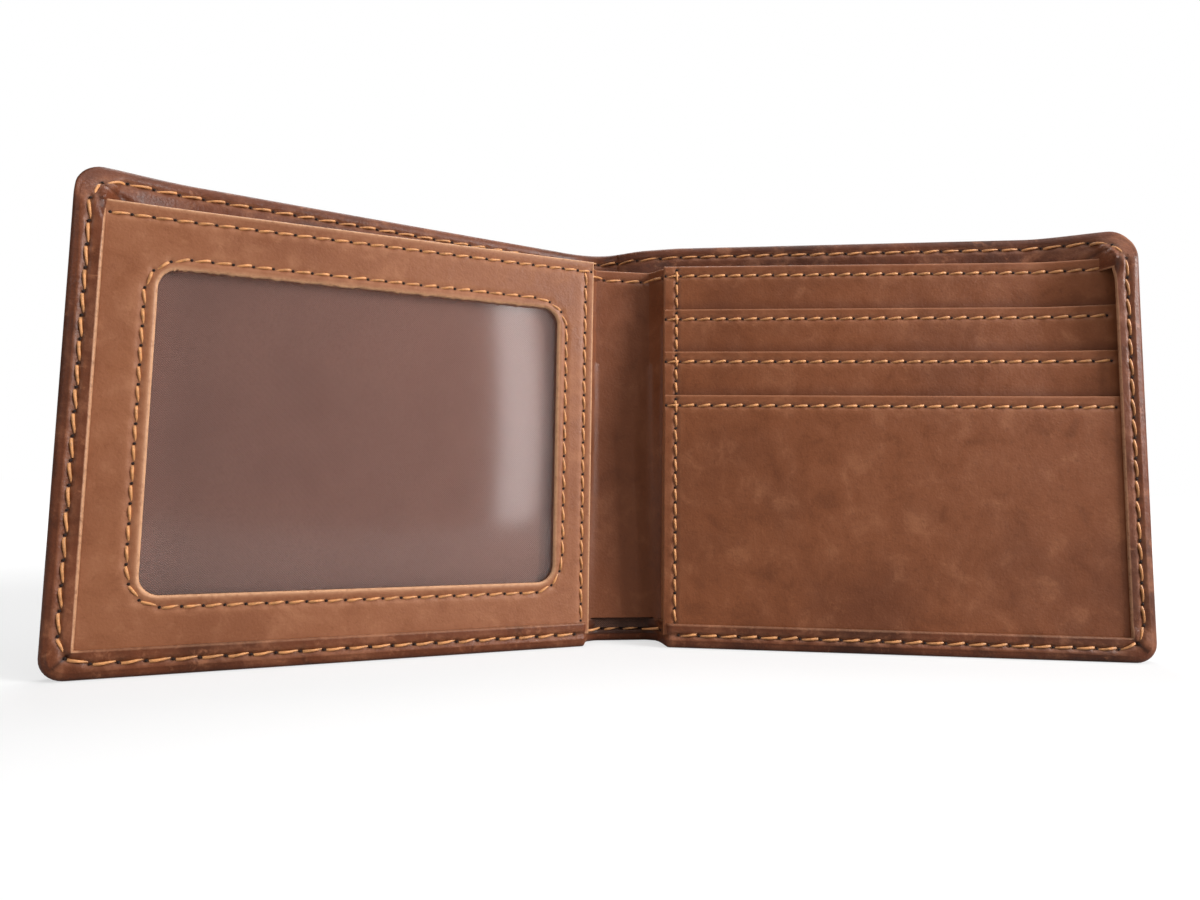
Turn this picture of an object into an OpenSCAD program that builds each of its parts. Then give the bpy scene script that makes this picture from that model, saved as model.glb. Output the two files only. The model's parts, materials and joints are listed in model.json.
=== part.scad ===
// Bifold wallet, standing open on its long bottom edge.
// Two halves fold towards each other about the two edges of a narrow spine.
// Origin: centre of the bottom of the whole object. +X to the card side, +Y to the back, +Z up.

/* [Overall] */
// Height of the outer cover
cover_h = 90; // [86:0.5:100]
// Width of one half, from its fold line to its outer edge
half_w = 100; // [96:0.5:110]
// Width of the spine between the two fold lines
spine_w = 16; // [15:0.5:22]
// Angle by which each half is turned forward from lying flat
rest_angle = 14.6; // [5:0.1:45]
// Radius of the outer corners
corner_r = 4; // [2:0.5:8]

/* [Leather and cloth] */
// Thickness of the cover leather
cover_t = 1.1; // [0.8:0.1:1.2]
// Thickness of the inner base leather
base_t = 1.0; // [0.8:0.1:1]
// Thickness of the pocket leather
pocket_t = 0.9; // [0.7:0.1:1]
// Thickness of the cloth linings
cloth_t = 0.3; // [0.2:0.1:0.3]
// Thickness of the clear window film
film_t = 0.25; // [0.15:0.05:0.3]
// Width of a seam thread
thread_w = 0.6; // [0.4:0.1:0.8]
// Height of a seam thread above its leather
thread_t = 0.3; // [0.1:0.1:0.3]

/* [Turned edges] */
// Width of the cover's turned edge at each side
side_hem_w = 5.2; // [4:0.1:7]
// Height of the cover's turned edge along the bottom
bottom_hem_h = 5.1; // [4:0.1:7]
// Height of the cover's turned edge along the top
top_hem_h = 9; // [7:0.5:12]
// Distance of the hem seams from the cover's edge
hem_seam_in = 2.8; // [2:0.1:3.5]
// Distance of the top hem seam from the cover's top
top_seam_in = 2.4; // [2:0.1:4]

/* [Bill compartment] */
// How far the left cover bows back at its top beside the spine
left_flare = 12.9; // [8:0.1:16]
// How far the spine bows back at its highest fold
peak_flare = 15; // [10:0.1:18]
// How far the right cover bows back at its top beside the spine
right_flare = 3.6; // [1:0.1:8]
// How far the centre strip leans back at its top
strip_lean = 4.4; // [1:0.1:5]

/* [ID window side] */
// Height of the top edge of the window panel
id_top = 83.2; // [80:0.1:85]
// Window opening: distance of its inner side from the fold
window_in = 9.2; // [7:0.1:14]
// Window opening: distance of its outer side from the fold
window_out = 86; // [80:0.1:88]
// Window opening: height of its lower side
window_low = 13.6; // [11:0.1:16]
// Window opening: height of its upper side
window_high = 71.8; // [66:0.1:74]
// Radius of the window's corners
window_r = 3.5; // [2:0.5:6]
// Distance of the window seam from the opening
window_seam_out = 2; // [1.5:0.1:3]

/* [Card side] */
// Height of the top edge of the back card panel
cards_top = 83.8; // [80:0.1:85]
// Height of the mouth of the highest card pocket
first_mouth = 73.5; // [70:0.1:76]
// Step down from one pocket mouth to the next
mouth_step = 9.85; // [8:0.05:11]
// Height of the leather strip at a pocket mouth, where cloth goes on below it
strip_h = 22; // [18:0.5:28]
// Distance of the upright seam from the inner edge of the card panels
card_seam_in = 3.1; // [2:0.1:5]

/* [Hidden] */
$fn = 48;

cover_color = [0.24, 0.12, 0.06];
panel_color = [0.50, 0.30, 0.17];
cloth_color = [0.36, 0.26, 0.24];
film_color = [0.80, 0.82, 0.84, 0.4];
thread_color = [0.78, 0.48, 0.20];

// Gaps that keep separate pieces clear of each other
fold_gap = 0.3;      // cover to fold line
panel_gap = 0.6;     // inner pieces to fold line
wall_gap = 0.1;      // inner pieces to the walls of the cover
cloth_gap = 0.2;     // cover to its lining, where both bow
thread_gap = 0.08;   // cover to the thread of its top seam
card_space = 0.9;    // room for one card between two pocket layers

// Depths of the layers at the fold plane: 0 is the front of the inner base, + is outwards
bill_lining_back = base_t + cloth_t;
cover_front = bill_lining_back + 1;              // inner face of the cover, unflared
cover_back = cover_front + cover_t;
wall_back = cover_front + cover_t / 2;           // the bottom wall ends inside the cover leather
top_hem_t = cover_t - 0.4;                       // skived leather of the top hem
film_back = -2.6;                                // room for an ID card behind the film
id_front = film_back - film_t - base_t;
card_back_front = -cloth_t - pocket_t;
layer_step = pocket_t + card_space;
front_pocket_front = card_back_front - 3 * layer_step;

left_hem_front = id_front - cover_t;
right_hem_front = front_pocket_front - cover_t;

// Reach of the inner pieces under the turned edges
panel_end = half_w - cover_t - wall_gap;
panel_low = cover_t + wall_gap;

// The footprint is centred on the origin
front_reach = half_w * sin(rest_angle) - right_hem_front * cos(rest_angle);
back_reach = cover_back + peak_flare;
centre_y = (front_reach - back_reach) / 2;

// The bow of the cover dies out where its rounded corners begin
flare_end = half_w - corner_r;

mouths = [for (i = [0:2]) first_mouth - i * mouth_step];

// Places the right half; x runs from the fold outwards, y outwards from the inner base
module right_half() {
    translate([spine_w / 2, centre_y, 0]) rotate([0, 0, -rest_angle]) children();
}

module left_half() {
    mirror([1, 0, 0]) right_half() children();
}

module spine() {
    translate([0, centre_y, 0]) children();
}

// A flat shape in x and z with depth from d0 to d1
module slab(d0, d1) {
    translate([0, d1, 0]) rotate([90, 0, 0]) linear_extrude(d1 - d0) children();
}

module panel(x0, x1, z0, z1) {
    translate([x0, z0]) square([x1 - x0, z1 - z0]);
}

// Outline of one half of the cover, rounded at its two outer corners
module cover_outline() {
    panel(fold_gap, flare_end, 0, cover_h);
    panel(fold_gap, half_w, corner_r, cover_h - corner_r);
    for (z = [corner_r, cover_h - corner_r]) translate([flare_end, z]) circle(corner_r);
}

// Outline of an inner panel, from its inner edge out to the walls of the cover
module inner_outline(top) {
    panel(panel_gap, flare_end, panel_low, top);
    panel(panel_gap, panel_end, corner_r, top);
    translate([flare_end, corner_r]) circle(panel_end - flare_end);
}

module rounded_window(grow) {
    r = window_r + grow;
    x0 = window_in - grow;
    x1 = window_out + grow;
    z0 = window_low - grow;
    z1 = window_high + grow;
    panel(x0 + r, x1 - r, z0, z1);
    panel(x0, x1, z0 + r, z1 - r);
    for (x = [x0 + r, x1 - r], z = [z0 + r, z1 - r]) translate([x, z]) circle(r);
}

// Columns of a leaf that runs along a half from the fold to x_end
function half_columns(flare, x_end, low, high) =
    [for (i = [0:8]) let (x = fold_gap + (x_end - fold_gap) * i / 8)
        [x, flare * (1 - x / flare_end), low, high]];

// A leaf of leather or cloth that bows back towards its top.
// columns: [x, flare at full height, lowest z, highest z]
module leaf(columns, front, thickness) {
    rows = 6;
    n = len(columns);
    points = [for (side = [0, 1], c = columns, j = [0:rows])
        let (z = c[2] + (c[3] - c[2]) * j / rows)
            [c[0], front + c[1] * z / cover_h + side * thickness, z]];
    function id(side, i, j) = (side * n + i) * (rows + 1) + j;
    faces = concat(
        [for (i = [0:n - 2], j = [0:rows - 1])
            each [[id(0, i, j), id(0, i, j + 1), id(0, i + 1, j + 1)],
                  [id(0, i, j), id(0, i + 1, j + 1), id(0, i + 1, j)]]],
        [for (i = [0:n - 2], j = [0:rows - 1])
            each [[id(1, i, j), id(1, i + 1, j + 1), id(1, i, j + 1)],
                  [id(1, i, j), id(1, i + 1, j), id(1, i + 1, j + 1)]]],
        [for (j = [0:rows - 1], e = [0, n - 1])
            let (q = [id(0, e, j), id(1, e, j), id(1, e, j + 1), id(0, e, j + 1)])
                e == 0 ? q : [q[3], q[2], q[1], q[0]]],
        [for (i = [0:n - 2], e = [0, rows])
            let (q = [id(0, i, e), id(0, i + 1, e), id(1, i + 1, e), id(1, i, e)])
                e == 0 ? q : [q[3], q[2], q[1], q[0]]]);
    polyhedron(points, faces);
}

// The spine bows back furthest at a quarter of its width from the left fold
spine_end = spine_w / 2 - fold_gap;
spine_bow = [[-spine_end, left_flare + 0.3], [-spine_end / 2, peak_flare], [spine_end, right_flare + 0.4]];

function spine_leaf(low, high) =
    [for (i = [0:8]) let (x = spine_end * (i / 4 - 1)) [x, lookup(x, spine_bow), low, high]];

// Cover leather of one half: the bowed leaf, the walls round its edge, the turned
// edge over the inner panels and the hem folded down inside the top
module half_cover(flare, hem_front) {
    leaf(half_columns(flare, flare_end, 0, cover_h), cover_front, cover_t);
    slab(cover_front, cover_back) difference() {
        cover_outline();
        panel(0, flare_end, -1, cover_h + 1);
    }
    slab(hem_front, wall_back) panel(fold_gap * 2, flare_end, 0, cover_t);
    slab(hem_front, cover_back) difference() {
        cover_outline();
        panel(0, flare_end, -1, cover_h + 1);
        panel(0, half_w - cover_t, corner_r, cover_h - corner_r);
        for (z = [corner_r, cover_h - corner_r]) translate([flare_end, z]) circle(corner_r - cover_t);
    }
    slab(hem_front, hem_front + cover_t) difference() {
        cover_outline();
        panel(0, half_w - side_hem_w, bottom_hem_h, cover_h + 1);
        panel(0, fold_gap * 2, -1, cover_h);
    }
}

// The hem is let a little into the cover leather, so that the two join all over
module top_hem(columns) {
    leaf(columns, cover_front - top_hem_t, top_hem_t + cover_t / 3);
}

module half_cover_lining(flare) {
    leaf(half_columns(flare, flare_end - 1, panel_low + 1, cover_h - top_hem_h - 0.5),
         cover_front - cloth_t - cloth_gap, cloth_t);
}

module inner_base(top) {
    slab(0, base_t) inner_outline(top);
}

module bill_lining(top) {
    slab(base_t, bill_lining_back) panel(panel_gap, panel_end - 1, panel_low + 1, top - 3);
}

// Thread of the hem seam: up the side and along the bottom, on the turned edge
module hem_thread(hem_front) {
    slab(hem_front - thread_t, hem_front) {
        panel(panel_gap + 1, half_w - hem_seam_in, hem_seam_in, hem_seam_in + thread_w);
        panel(half_w - hem_seam_in - thread_w, half_w - hem_seam_in, hem_seam_in, cover_h - hem_seam_in);
    }
}

module top_thread(flare) {
    high = cover_h - top_seam_in;
    leaf(half_columns(flare, flare_end - 1, high - thread_w, high),
         cover_front - top_hem_t - thread_t - thread_gap, thread_t);
}

// Straight thread across a panel's face, below its top edge
module level_thread(x0, x1, edge_z, face) {
    slab(face - thread_t, face) panel(x0, x1, edge_z - 2.3 - thread_w / 2, edge_z - 2.3 + thread_w / 2);
}

module upright_thread(x, z0, z1, face) {
    slab(face - thread_t, face) panel(x - thread_w / 2, x + thread_w / 2, z0, z1);
}

// Leather strip of one card pocket and, below it, the cloth that carries the card
module card_strip(front, high) {
    slab(front, front + pocket_t) panel(panel_gap, panel_end, high - strip_h, high);
}

module full_card_leather(front, high) {
    slab(front, front + pocket_t) inner_outline(high);
}

module card_cloth(front, high) {
    slab(front, front + cloth_t) panel(panel_gap + 0.5, panel_end - 0.5, panel_low + 1.5, high);
}

function pocket_front(i) = card_back_front - (i + 1) * layer_step;

module left_cover() {
    color(cover_color) left_half() {
        half_cover(left_flare, left_hem_front);
        top_hem(half_columns(left_flare, flare_end, cover_h - top_hem_h, cover_h - 0.2));
    }
}

module right_cover() {
    color(cover_color) right_half() {
        half_cover(right_flare, right_hem_front);
        top_hem(half_columns(right_flare, flare_end, cover_h - top_hem_h, cover_h - 0.2));
    }
}

module left_cover_lining() { color(cloth_color) left_half() half_cover_lining(left_flare); }
module right_cover_lining() { color(cloth_color) right_half() half_cover_lining(right_flare); }
module left_inner_base() { color(cover_color) left_half() inner_base(id_top - 0.4); }
module right_inner_base() { color(cover_color) right_half() inner_base(cards_top - 0.4); }
module left_bill_lining() { color(cloth_color) left_half() bill_lining(id_top); }
module right_bill_lining() { color(cloth_color) right_half() bill_lining(cards_top); }

module id_pocket_lining() {
    color(cloth_color) left_half()
        slab(-cloth_t, 0) panel(panel_gap + 1, panel_end - 1, panel_low + 1, id_top - 2);
}

module id_window_film() {
    color(film_color) left_half()
        slab(film_back - film_t, film_back)
            panel(window_in - 4, window_out + 4, window_low - 4, window_high + 4);
}

module id_window_panel() {
    color(panel_color) left_half()
        slab(id_front, id_front + base_t) difference() {
            inner_outline(id_top);
            rounded_window(0);
        }
}

module left_hem_thread() { color(thread_color) left_half() hem_thread(left_hem_front); }
module right_hem_thread() { color(thread_color) right_half() hem_thread(right_hem_front); }
module left_top_thread() { color(thread_color) left_half() top_thread(left_flare); }
module right_top_thread() { color(thread_color) right_half() top_thread(right_flare); }

module id_top_thread() {
    color(thread_color) left_half() level_thread(panel_gap + 0.5, half_w - side_hem_w - 0.5, id_top, id_front);
}

module id_window_thread() {
    color(thread_color) left_half() slab(id_front - thread_t, id_front) difference() {
        rounded_window(window_seam_out + thread_w / 2);
        rounded_window(window_seam_out - thread_w / 2);
    }
}

module id_edge_thread() {
    color(thread_color) left_half()
        upright_thread(panel_gap + 2.2, bottom_hem_h + 0.5, id_top - 3.5, id_front);
}

// Spine: the cover leather between the folds, with its own hem at the bottom and top
module spine_cover() {
    color(cover_color) spine() {
        leaf(spine_leaf(0, cover_h), cover_front, cover_t);
        translate([-spine_end, 0, 0]) cube([2 * spine_end, wall_back, cover_t]);
        translate([-spine_end, 0, 0]) cube([2 * spine_end, cover_t, bottom_hem_h]);
        top_hem(spine_leaf(cover_h - top_hem_h, cover_h - 0.2));
    }
}

module spine_cover_lining() {
    color(cloth_color) spine()
        leaf(spine_leaf(bottom_hem_h + 0.5, cover_h - top_hem_h - 0.5),
             cover_front - cloth_t - cloth_gap, cloth_t);
}

// Pieces of the centre strip lean back about its lower edge
module leaning(low, high, d0, d1) {
    w = spine_w - 2 * panel_gap;
    spine() translate([-w / 2, 0, bottom_hem_h + 0.2])
        rotate([-atan(strip_lean / (id_top - bottom_hem_h)), 0, 0])
            translate([0, d0, low]) cube([w, d1 - d0, high - low]);
}

strip_len = id_top + 0.6 - bottom_hem_h;

module centre_strip() { color(cover_color) leaning(0, strip_len, 0, base_t); }
module spine_bill_lining() { color(cloth_color) leaning(1, strip_len - 3, base_t, bill_lining_back); }

module centre_strip_thread() {
    color(thread_color) leaning(strip_len - 2.3 - thread_w, strip_len - 2.3, -thread_t, 0);
}

module spine_hem_thread() {
    w = spine_w - 2 * panel_gap;
    color(thread_color) spine() translate([-w / 2, -thread_t / 2, hem_seam_in]) cube([w, thread_t / 2, thread_w]);
}

module spine_top_thread() {
    color(thread_color) spine()
        leaf(spine_leaf(cover_h - top_seam_in - thread_w, cover_h - top_seam_in),
             cover_front - top_hem_t - thread_t - thread_gap, thread_t);
}

module card_back_panel() { color(panel_color) right_half() full_card_leather(card_back_front, cards_top); }

module upper_card_pocket() {
    color(panel_color) right_half() card_strip(pocket_front(0), mouths[0]);
}

module upper_pocket_cloth() { color(cloth_color) right_half() card_cloth(pocket_front(0), mouths[0] - strip_h); }

module middle_card_pocket() {
    color(panel_color) right_half() card_strip(pocket_front(1), mouths[1]);
}

module middle_pocket_cloth() { color(cloth_color) right_half() card_cloth(pocket_front(1), mouths[1] - strip_h); }

module front_card_pocket() { color(panel_color) right_half() full_card_leather(pocket_front(2), mouths[2]); }

module pocket_thread(edge_z, front) {
    color(thread_color) right_half()
        level_thread(panel_gap + card_seam_in + 1, half_w - side_hem_w - 0.5, edge_z, front);
}

module card_back_thread() { pocket_thread(cards_top, card_back_front); }
module upper_pocket_thread() { pocket_thread(mouths[0], pocket_front(0)); }
module middle_pocket_thread() { pocket_thread(mouths[1], pocket_front(1)); }
module front_pocket_thread() { pocket_thread(mouths[2], pocket_front(2)); }

// The upright seam runs over the four steps; one length of thread lies on each layer
module card_edge_thread() {
    tops = concat([cards_top - 1], mouths);
    lows = concat(mouths, [bottom_hem_h + 0.5]);
    color(thread_color) right_half() for (i = [0:3])
        upright_thread(panel_gap + card_seam_in, lows[i] + (i < 3 ? 0.3 : 0), tops[i] - 0.3,
                       card_back_front - i * layer_step);
}

left_cover();
left_cover_lining();
left_inner_base();
left_bill_lining();
id_pocket_lining();
id_window_film();
id_window_panel();
left_hem_thread();
left_top_thread();
id_top_thread();
id_window_thread();
id_edge_thread();
spine_cover();
spine_cover_lining();
centre_strip();
spine_bill_lining();
spine_hem_thread();
spine_top_thread();
centre_strip_thread();
right_cover();
right_cover_lining();
right_inner_base();
right_bill_lining();
card_back_panel();
upper_card_pocket();
upper_pocket_cloth();
middle_card_pocket();
middle_pocket_cloth();
front_card_pocket();
right_hem_thread();
right_top_thread();
card_back_thread();
upper_pocket_thread();
middle_pocket_thread();
front_pocket_thread();
card_edge_thread();
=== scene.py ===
import bpy
import bmesh
import json
import math
import numpy as np
from mathutils import Matrix, Vector


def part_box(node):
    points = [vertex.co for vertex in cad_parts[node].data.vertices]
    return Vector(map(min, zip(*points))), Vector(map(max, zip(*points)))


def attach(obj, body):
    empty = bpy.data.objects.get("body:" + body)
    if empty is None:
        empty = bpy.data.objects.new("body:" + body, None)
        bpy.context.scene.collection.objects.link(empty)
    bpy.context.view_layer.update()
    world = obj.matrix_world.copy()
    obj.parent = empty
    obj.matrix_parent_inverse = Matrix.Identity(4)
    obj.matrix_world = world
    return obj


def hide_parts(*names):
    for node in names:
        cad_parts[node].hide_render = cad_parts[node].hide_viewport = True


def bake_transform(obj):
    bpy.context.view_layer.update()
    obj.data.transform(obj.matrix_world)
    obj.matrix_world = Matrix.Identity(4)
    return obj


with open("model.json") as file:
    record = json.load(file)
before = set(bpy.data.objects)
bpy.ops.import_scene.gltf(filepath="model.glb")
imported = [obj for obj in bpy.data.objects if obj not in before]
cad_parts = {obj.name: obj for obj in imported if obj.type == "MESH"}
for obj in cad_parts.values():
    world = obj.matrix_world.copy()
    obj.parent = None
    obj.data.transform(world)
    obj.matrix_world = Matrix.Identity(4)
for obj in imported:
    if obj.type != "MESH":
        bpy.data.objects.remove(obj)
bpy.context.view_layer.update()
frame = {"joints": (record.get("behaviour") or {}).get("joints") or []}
print("wallet: frame loaded")

mm = 0.001
left, right = -1, 1
joints = {j["name"]: j for j in frame["joints"]}
foldX = joints["right_fold"]["pos_m"][0] / mm     # from the middle of the spine to a fold
foldY = joints["right_fold"]["pos_m"][1] / mm
restAngle = math.radians(-joints["right_fold"]["range_deg"][0])
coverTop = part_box("left_cover")[1].z / mm
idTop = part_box("id_window_panel")[1].z / mm
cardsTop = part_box("card_back_panel")[1].z / mm
mouths = [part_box(n)[1].z / mm for n in ("upper_card_pocket", "middle_card_pocket", "front_card_pocket")]

# Everything below is in millimetres until place() turns it into the frame's metres.
wallet = {
    "halfWidth": 100.0,       # fold to outer edge
    "cornerRadius": 4.0,
    "coverThick": 1.1,
    "baseThick": 1.0,
    "cardBackThick": 1.2,
    "pocketThick": 0.9,
    "panelEnd": 97.2,         # fold to the hidden outer edge of the panels
    "panelLow": 2.6,          # hidden bottom edge of the panels
    "coverBack": 3.4,         # outer face of the cover where it doesn't bow
    "idFront": -3.85,         # front face of the window panel
    "cardFronts": [-1.2, -3.0, -4.8, -6.6],
    "foldBend": 2.5,          # half the length of leather that bends at a fold
    "innerGap": 0.6,          # fold to the inner edge of the panels
    "grid": 0.62,             # size of a mesh cell on the leather
}
halfWidth = wallet["halfWidth"]
hemFront = {left: wallet["idFront"] - wallet["coverThick"],
            right: wallet["cardFronts"][-1] - wallet["coverThick"]}
pressed = {left: 0.60, right: 0.50}               # how far the sewn edges press the layers together


def smooth(x):
    x = np.clip(x, 0.0, 1.0)
    return x * x * (3.0 - 2.0 * x)


# A point of one half: s along the inner base from the middle of the spine, v outwards, z up.
def place(side, s, v, z):
    s, v, z = np.broadcast_arrays(np.asarray(s, float), np.asarray(v, float), np.asarray(z, float))
    bend = wallet["foldBend"]
    turn = restAngle * np.clip((s - foldX + bend) / (2 * bend), 0, 1)
    radius = 2 * bend / restAngle
    past = np.maximum(s - foldX - bend, 0)
    x = np.minimum(s, foldX - bend) + radius * np.sin(turn) + past * math.cos(restAngle)
    y = foldY - radius * (1 - np.cos(turn)) - past * math.sin(restAngle)
    return np.stack([side * (x + v * np.sin(turn)), y + v * np.cos(turn), z], -1) * mm


# 1 inside a half, falling to the pressed share at its sewn side and bottom edges.
def pinch(side, s, z):
    u = s - foldX
    inside = smooth((halfWidth - u) / 20) * smooth(z / 15)
    inside = 1 - (1 - inside) * smooth((u + 1) / 6)
    return pressed[side] + (1 - pressed[side]) * inside


def depth(side, s, z, v):
    return hemFront[side] + (v - hemFront[side]) * pinch(side, s, z)


# How far the cover bows back at its open top, measured across the whole wallet.
bowStations = [-(foldX + halfWidth), -(foldX + 80), -(foldX + 40), -foldX, -foldX / 2, foldX, foldX + 50,
               foldX + halfWidth]
bowDepths = [0.0, 1.9, 7.6, 13.0, 15.0, 4.0, 2.0, 0.0]


def bow(side, s, z):
    across = side * np.asarray(s, float)
    total = sum(np.interp(across + shift, bowStations, bowDepths) for shift in np.linspace(-4, 4, 9)) / 9
    return total * (np.clip(z, 0, None) / coverTop) ** 1.1


def coverOuter(side, s, z):
    return depth(side, s, z, wallet["coverBack"]) + bow(side, s, z)


def coverInner(side, s, z):
    return depth(side, s, z, wallet["coverBack"] - wallet["coverThick"]) + bow(side, s, z)


turnedEdge = {
    "wide": 5.2,              # at the outer side
    "tall": 5.1,              # along the bottom
    "topTall": 9.0,
    "thick": 0.9,
    "topStack": 2.1,          # cover and turned edge together along the top
    "spineDepth": 1.3,        # depth of its front face between the two halves
    "roll": 1.55,             # radius of the rolled outer edge
    "turnIn": 1.1,            # from the rim to where its layers meet
}


# Front face of the turned edge: over the panels at the side and bottom, on the cover itself at the top.
def hemFace(side, s, z):
    u = s - foldX
    betweenHalves = 1 - smooth((u + 2.6) / 2.2)
    onPanels = hemFront[side] * smooth((u + 0.6) / 3.0) + turnedEdge["spineDepth"] * betweenHalves
    onCover = coverOuter(side, s, z) - turnedEdge["topStack"]
    abovePanels = smooth((z - idTop + 1.2) / 7)
    inward = smooth((halfWidth - 4.4 - u) / 2.4) * smooth((z - 78) / 4)
    return onPanels + (onCover - onPanels) * np.maximum(abovePanels, inward)


seams = {
    "pitch": 3.5,             # one stitch on the panels
    "hemPitch": 4.2,
    "belowTop": 2.3,          # from a panel's top edge to its seam
    "idEdgeIn": 2.2,          # from a panel's inner edge to its upright seam
    "cardEdgeIn": 3.1,
    "idEdgeLow": 5.4,         # lower ends of the upright seams
    "cardEdgeLow": 4.6,
    "hemIn": 2.8,             # from the side and bottom of the cover to the hem seam
    "topIn": 2.4,
    "hemCorner": 5.2,         # where the hem seam starts to turn
    "topCorner": 5.0,
    "groove": 0.22,           # depth pressed in by the thread
    "dimple": 0.2,
}


# Evenly spaced needle holes along a run of straight stretches.
def holesAlong(corners, pitch):
    corners = np.asarray(corners, float)
    steps = np.linalg.norm(np.diff(corners, axis=0), axis=1)
    reach = np.concatenate([[0], np.cumsum(steps)])
    count = max(2, int(round(reach[-1] / pitch)) + 1)
    at = np.linspace(0, reach[-1], count)
    return np.stack([np.interp(at, reach, corners[:, 0]), np.interp(at, reach, corners[:, 1])], -1)


# Share of groove and of needle hole at each point (s, z) of a face.
def seamMarks(s, z, holeSets, width=0.55):
    groove = np.zeros(s.shape)
    dimple = np.zeros(s.shape)
    halo = np.zeros(s.shape)
    flat = np.stack([s.ravel(), z.ravel()], -1)
    for holes in holeSets:
        low, high = holes.min(0) - 4, holes.max(0) + 4
        near = np.nonzero(np.all((flat > low) & (flat < high), axis=1))[0]
        for part in np.array_split(near, max(1, len(near) // 4000)):
            if not len(part):
                continue
            p = flat[part][:, None, :]
            a, b = holes[None, :-1], holes[None, 1:]
            ab = b - a
            t = np.clip(((p - a) * ab).sum(-1) / (ab * ab).sum(-1), 0, 1)
            line = np.linalg.norm(p - a - ab * t[..., None], axis=-1).min(1)
            hole = np.linalg.norm(p - holes[None], axis=-1).min(1)
            g, d = groove.ravel(), dimple.ravel()
            g[part] = np.maximum(g[part], np.exp(-(line / width) ** 2))
            d[part] = np.maximum(d[part], np.exp(-(hole / (width * 0.9)) ** 2))
            h = halo.ravel()
            h[part] = np.maximum(h[part], np.exp(-(line / 1.3) ** 2) * np.exp(-(hole / 1.5) ** 2))
    return groove, dimple, halo


window = {
    "in": 9.2,                # from the fold
    "out": 86.0,
    "low": 13.6,
    "high": 71.8,
    "radius": 3.5,
    "seamOut": 2.0,
}
gap = wallet["innerGap"]
seamEnd = halfWidth - turnedEdge["wide"]
hemIn, topIn, belowTop = seams["hemIn"], seams["topIn"], seams["belowTop"]


def levelSeam(start, topZ):
    ends = [(foldX + gap + start, topZ - belowTop), (foldX + seamEnd - 0.6, topZ - belowTop)]
    return holesAlong(ends, seams["pitch"])


# The seam round the window takes each corner in two short steps.
def windowRun():
    out = window["seamOut"]
    cut = window["radius"] + out
    near = cut * 0.3
    x0, x1 = foldX + window["in"] - out, foldX + window["out"] + out
    z0, z1 = window["low"] - out, window["high"] + out
    return [(x0 + cut, z0), (x1 - cut, z0), (x1 - near, z0 + near), (x1, z0 + cut),
            (x1, z1 - cut), (x1 - near, z1 - near), (x1 - cut, z1), (x0 + cut, z1),
            (x0 + near, z1 - near), (x0, z1 - cut), (x0, z0 + cut), (x0 + near, z0 + near), (x0 + cut, z0)]


idTopHoles = levelSeam(0.7, idTop)
idEdge = foldX + gap + seams["idEdgeIn"]
idEdgeHoles = holesAlong([(idEdge, seams["idEdgeLow"]), (idEdge, idTop - belowTop)], seams["pitch"])
windowHoles = holesAlong(windowRun(), seams["pitch"])

cardTops = [cardsTop] + mouths
cardHoles = [levelSeam(0.5, top) for top in cardTops]
edgeX = foldX + gap + seams["cardEdgeIn"]
cardEdgeRuns = [holesAlong([(edgeX, low + 0.4), (edgeX, top - 0.9)], seams["pitch"] * 0.94)
                for low, top in zip(mouths + [seams["cardEdgeLow"]], cardTops)]

outerX = foldX + halfWidth
hemCorner, topCorner = seams["hemCorner"], seams["topCorner"]
hemRun = [(0.0, hemIn), (outerX - hemCorner, hemIn), (outerX - hemIn, hemCorner),
          (outerX - hemIn, coverTop - topCorner), (outerX - topCorner, coverTop - topIn),
          (0.0, coverTop - topIn)]
hemHoles = holesAlong(hemRun, seams["hemPitch"])
stripTop = idTop + 0.4
stripHoles = holesAlong([(0.0, stripTop - belowTop), (foldX + gap, stripTop - belowTop)], seams["pitch"])


def addObject(name, verts, faces, marks=None, material=None, sharp=42):
    mesh = bpy.data.meshes.new(name)
    mesh.from_pydata([], [], [])
    verts = np.asarray(verts, float)
    loops = np.array([i for f in faces for i in f]) if not isinstance(faces, np.ndarray) else faces.ravel()
    sizes = np.array([len(f) for f in faces]) if not isinstance(faces, np.ndarray) else np.full(len(faces), 4)
    mesh.vertices.add(len(verts))
    mesh.vertices.foreach_set("co", verts.ravel())
    mesh.loops.add(len(loops))
    mesh.loops.foreach_set("vertex_index", loops)
    mesh.polygons.add(len(sizes))
    mesh.polygons.foreach_set("loop_start", np.concatenate([[0], np.cumsum(sizes)[:-1]]))
    mesh.polygons.foreach_set("loop_total", sizes)
    mesh.update(calc_edges=True)
    mesh.validate()
    work = bmesh.new()
    work.from_mesh(mesh)
    bmesh.ops.recalc_face_normals(work, faces=work.faces)
    work.to_mesh(mesh)
    work.free()
    rest = mesh.attributes.new("rest", "FLOAT_VECTOR", "POINT")
    rest.data.foreach_set("vector", (verts / mm).ravel())
    for key, values in (marks or {}).items():
        mesh.attributes.new(key, "FLOAT", "POINT").data.foreach_set("value", np.ravel(values))
    mesh.polygons.foreach_set("use_smooth", np.ones(len(sizes), bool))
    mesh.set_sharp_from_angle(angle=math.radians(sharp))
    if material:
        mesh.materials.append(material)
    piece = bpy.data.objects.new(name, mesh)
    bpy.context.scene.collection.objects.link(piece)
    return piece


# Cell lines from a to b, closer together at the ends and near the given lines.
def cellLines(a, b, step, fine=(), fineStep=0.3, reach=1.6, ends=0.4):
    at = [a]
    x = a
    while x < b - 1e-6:
        near = min((abs(x - f) for f in fine), default=99)
        x += fineStep if near < reach else step
        at.append(min(x, b))
    if len(at) > 2 and at[-1] - at[-2] < 0.3 * step:
        at.pop(-2)
    inner = [x for x in at[1:-1] if x - a > ends * 1.3 and b - x > ends * 1.3]
    edge = [0.0, 0.07, 0.2, 0.45, 1.0]
    return np.array([a + ends * e for e in edge] + inner + [b - ends * e for e in reversed(edge)])


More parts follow.
